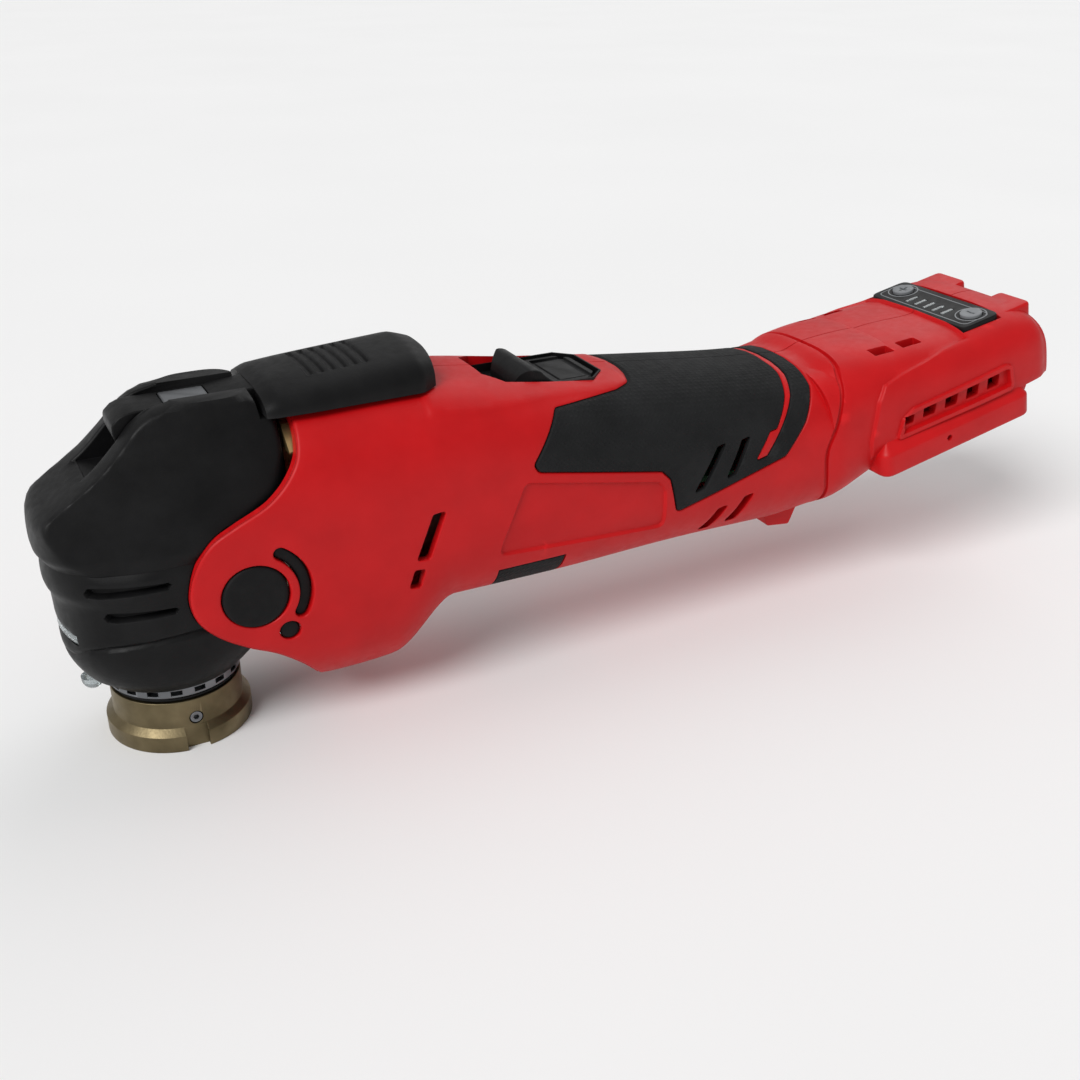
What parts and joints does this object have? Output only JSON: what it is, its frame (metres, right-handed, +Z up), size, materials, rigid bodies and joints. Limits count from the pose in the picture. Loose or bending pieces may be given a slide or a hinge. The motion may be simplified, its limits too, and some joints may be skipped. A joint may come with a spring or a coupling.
{
  "type": "cordless oscillating multi-tool",
  "caption": "Bare cordless oscillating multi-tool: slim clamshell handle, vertical spindle head with lever release, slide switch, speed keys and battery foot.",
  "frame": {"origin": "centre of the bounding box in X and Y, at its lowest face, the flange's accessory face", "axes": "+X from the spindle head to the battery foot, +Y across the tool to its right-hand side, +Z up along the spindle"},
  "size_m": [0.3156, 0.0664, 0.0984],
  "materials": {
    "red_plastic": "satin moulded",
    "soft_overmould": "fine textured soft grip",
    "black_rubber": "matt",
    "black_plastic": "fine spark texture",
    "clear_lens": "clear moulded",
    "steel": "turned",
    "bronze": "plated, satin",
    "brass": "stamped",
    "gearbox_aluminium": "cast",
    "copper": "bright",
    "grey_plastic": "satin",
    "circuit_board": "lacquered"
  },
  "bodies": {
    "housing": {"left_casing": "red_plastic", "right_casing": "red_plastic", "left_grip": "soft_overmould", "right_grip": "soft_overmould", "belly_pad": "soft_overmould", "left_isolator": "black_rubber", "left_arc_bumper": "black_rubber", "left_peg_bumper": "black_rubber", "right_isolator": "black_rubber", "right_arc_bumper": "black_rubber", "right_peg_bumper": "black_rubber", "gearbox_housing": "gearbox_aluminium", "head_cover": "black_plastic", "work_light_lens": "clear_lens", "work_light_led": "clear_lens", "index_collar": "steel", "dust_seal": "black_rubber", "lower_spindle_bearing": "steel", "upper_spindle_bearing": "steel", "motor_can": "steel", "stator_magnets": "grey_plastic", "motor_end_cap": "black_plastic", "front_motor_bearing": "steel", "rear_motor_bearing": "steel", "mounting_plate": "brass", "switch_body": "black_plastic", "speed_board": "circuit_board", "capacitor": "black_plastic", "heat_sink": "gearbox_aluminium", "terminal_block": "black_plastic", "contact_blade_1": "copper", "contact_blade_2": "copper", "contact_blade_3": "copper", "contact_blade_4": "copper", "speed_panel": "black_plastic", "light_guide": "clear_lens", "casing_screw_1": "steel", "casing_screw_2": "steel", "casing_screw_3": "steel", "casing_screw_4": "steel", "casing_screw_5": "steel"},
    "lever": {"lever": "black_plastic", "lever_strap": "grey_plastic", "lever_pin": "steel"},
    "clamp": {"clamp_bolt": "steel"},
    "spindle": {"spindle": "steel", "accessory_flange": "bronze", "flange_set_screw": "steel", "drive_fork": "steel", "clamp_spring": "steel"},
    "rotor": {"rotor_shaft": "steel", "rotor_core": "copper", "commutator": "copper", "cooling_fan": "black_plastic", "eccentric_bearing": "steel"},
    "slider": {"switch_slider": "black_plastic", "switch_link": "black_plastic"},
    "plus_key": {"plus_button": "grey_plastic"},
    "minus_key": {"minus_button": "grey_plastic"}
  },
  "joints": [
    {"name": "lever_hinge", "type": "hinge", "parent": "housing", "child": "lever", "pos_m": [-0.12744, 0, 0.086], "axis": [0, -1, 0], "range_deg": [0, 110]},
    {"name": "spindle_swing", "type": "hinge", "parent": "housing", "child": "spindle", "pos_m": [-0.12744, 0, 0], "axis": [0, 0, 1], "range_deg": [-1.7, 1.7]},
    {"name": "clamp_slide", "type": "slide", "parent": "spindle", "child": "clamp", "axis": [0, 0, -1], "range_m": [0, 0.003], "deforming": ["clamp_spring"]},
    {"name": "motor_spin", "type": "hinge", "parent": "housing", "child": "rotor", "pos_m": [-0.12744, 0, 0.054], "axis": [1, 0, 0], "continuous": true},
    {"name": "switch_slide", "type": "slide", "parent": "housing", "child": "slider", "axis": [-1, 0, 0], "range_m": [0, 0.008]},
    {"name": "plus_press", "type": "slide", "parent": "housing", "child": "plus_key", "axis": [0.2079, 0, -0.9781], "range_m": [0, 0.0006], "stiffness_N_per_m": 500},
    {"name": "minus_press", "type": "slide", "parent": "housing", "child": "minus_key", "axis": [0.2079, 0, -0.9781], "range_m": [0, 0.0006], "stiffness_N_per_m": 500}
  ],
  "couplings": [
    {"joint": "clamp_slide", "follows": "lever_hinge", "m_per_rad": 0.0015625}
  ]
}
